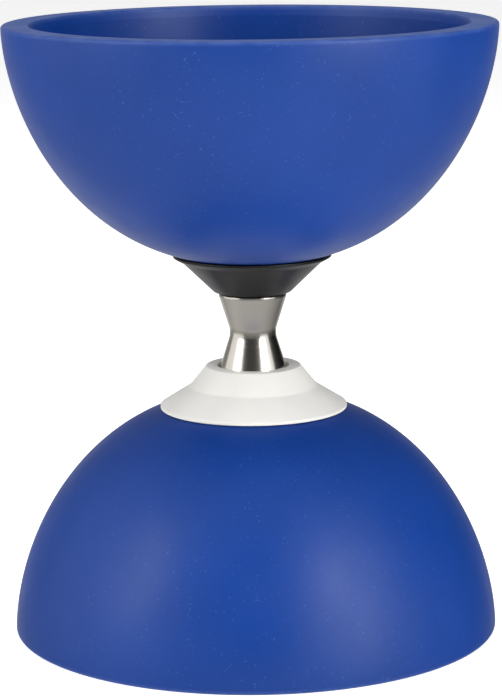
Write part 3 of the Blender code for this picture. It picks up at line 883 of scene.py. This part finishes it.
def direction(azimuth, elevation):
    """The unit vector towards this bearing, where azimuth 0 is towards the camera."""
    flat = math.cos(elevation)
    return Vector((math.sin(azimuth) * flat, -math.cos(azimuth) * flat, math.sin(elevation)))


def add_lamp(name, azimuth, elevation, distance, size, watts, mirrored):
    light = bpy.data.lights.new(name, "AREA")
    light.shape = "RECTANGLE"
    light.size, light.size_y = size
    light.energy = watts
    lamp = bpy.data.objects.new(name, light)
    way = direction(math.radians(azimuth), math.radians(elevation))
    lamp.location = way * distance
    lamp.rotation_euler = way.to_track_quat("Z", "Y").to_euler()
    lamp.visible_camera = False
    lamp.visible_glossy = mirrored
    bpy.context.scene.collection.objects.link(lamp)


def room_glow(tree, rays, place, facing, fade, lit, mirrored):
    """How much one glow gives in the direction asked for."""
    towards = tree.nodes.new("ShaderNodeVectorMath")
    towards.operation = "DOT_PRODUCT"
    towards.inputs[1].default_value = Vector(facing).normalized()
    tree.links.new(place.outputs["Generated"], towards.inputs[0])
    strength = tree.nodes.new("ShaderNodeMapRange")
    strength.inputs["To Min"].default_value = lit
    strength.inputs["To Max"].default_value = mirrored
    tree.links.new(rays.outputs["Is Glossy Ray"], strength.inputs["Value"])
    share = tree.nodes.new("ShaderNodeMapRange")
    share.interpolation_type = "SMOOTHSTEP"
    share.inputs["From Min"].default_value = fade
    share.inputs["From Max"].default_value = FULL_GLOW_COSINE
    tree.links.new(towards.outputs["Value"], share.inputs["Value"])
    tree.links.new(strength.outputs["Result"], share.inputs["To Max"])
    return share.outputs["Result"]


def add_world():
    """White to the eye. To the object it is a soft room: dim in front and to the right, and brighter
    overhead, to the left, behind, and below, where the table is."""
    world = bpy.data.worlds.new("studio")
    bpy.context.scene.world = world
    world.use_nodes = True
    tree = world.node_tree
    tree.nodes.clear()
    output = tree.nodes.new("ShaderNodeOutputWorld")
    seen = tree.nodes.new("ShaderNodeBackground")
    room = tree.nodes.new("ShaderNodeBackground")
    either = tree.nodes.new("ShaderNodeMixShader")
    rays = tree.nodes.new("ShaderNodeLightPath")
    place = tree.nodes.new("ShaderNodeTexCoord")
    total = room_glow(tree, rays, place, *ROOM_GLOW[0])
    for glow in ROOM_GLOW[1:]:
        both = tree.nodes.new("ShaderNodeMath")
        tree.links.new(total, both.inputs[0])
        tree.links.new(room_glow(tree, rays, place, *glow), both.inputs[1])
        total = both.outputs[0]
    tree.links.new(total, room.inputs["Strength"])
    seen.inputs["Color"].default_value = (1, 1, 1, 1)
    room.inputs["Color"].default_value = (1, 1, 1, 1)
    tree.links.new(rays.outputs["Is Camera Ray"], either.inputs[0])
    tree.links.new(room.outputs[0], either.inputs[1])
    tree.links.new(seen.outputs[0], either.inputs[2])
    tree.links.new(either.outputs[0], output.inputs["Surface"])


def add_camera():
    camera = bpy.data.cameras.new("camera")
    camera.sensor_width = SENSOR
    camera.lens = FOCAL_LENGTH
    camera.clip_start = 0.01
    camera.clip_end = 50
    eye = bpy.data.objects.new("camera", camera)
    bpy.context.scene.collection.objects.link(eye)
    away = direction(0.0, CAMERA_ELEVATION)
    eye.location = away * CAMERA_DISTANCE
    looking = direction(0.0, CAMERA_ELEVATION + CAMERA_DROP)
    turn = looking.to_track_quat("Z", "Y").to_matrix()
    turn = turn @ Matrix.Rotation(CAMERA_SIDEWAYS, 3, "Y") @ Matrix.Rotation(CAMERA_ROLL, 3, "Z")
    eye.rotation_euler = turn.to_euler()
    bpy.context.scene.camera = eye


def main():
    for side in SIDE_NAMES:
        add_cup(side)
        add_bearing(side)
        add_cage(side)
        add_plate(side)
        for index in range(BALL_COUNT):
            add_ball(f"{SIDE_NAMES[side]}_bearing_ball_{index + 1}", SIDE_NAMES[side] + "_ball_set")
    add_upper_hub()
    add_lower_hub()
    add_bobbin()
    add_flat_rings()
    add_bolt()
    add_nut()
    add_floor(cad_bounds[0].z)
    add_world()
    for name, settings in LAMPS.items():
        add_lamp(name, *settings)
    add_camera()
    bpy.context.scene.view_settings.view_transform = "Standard"


main()
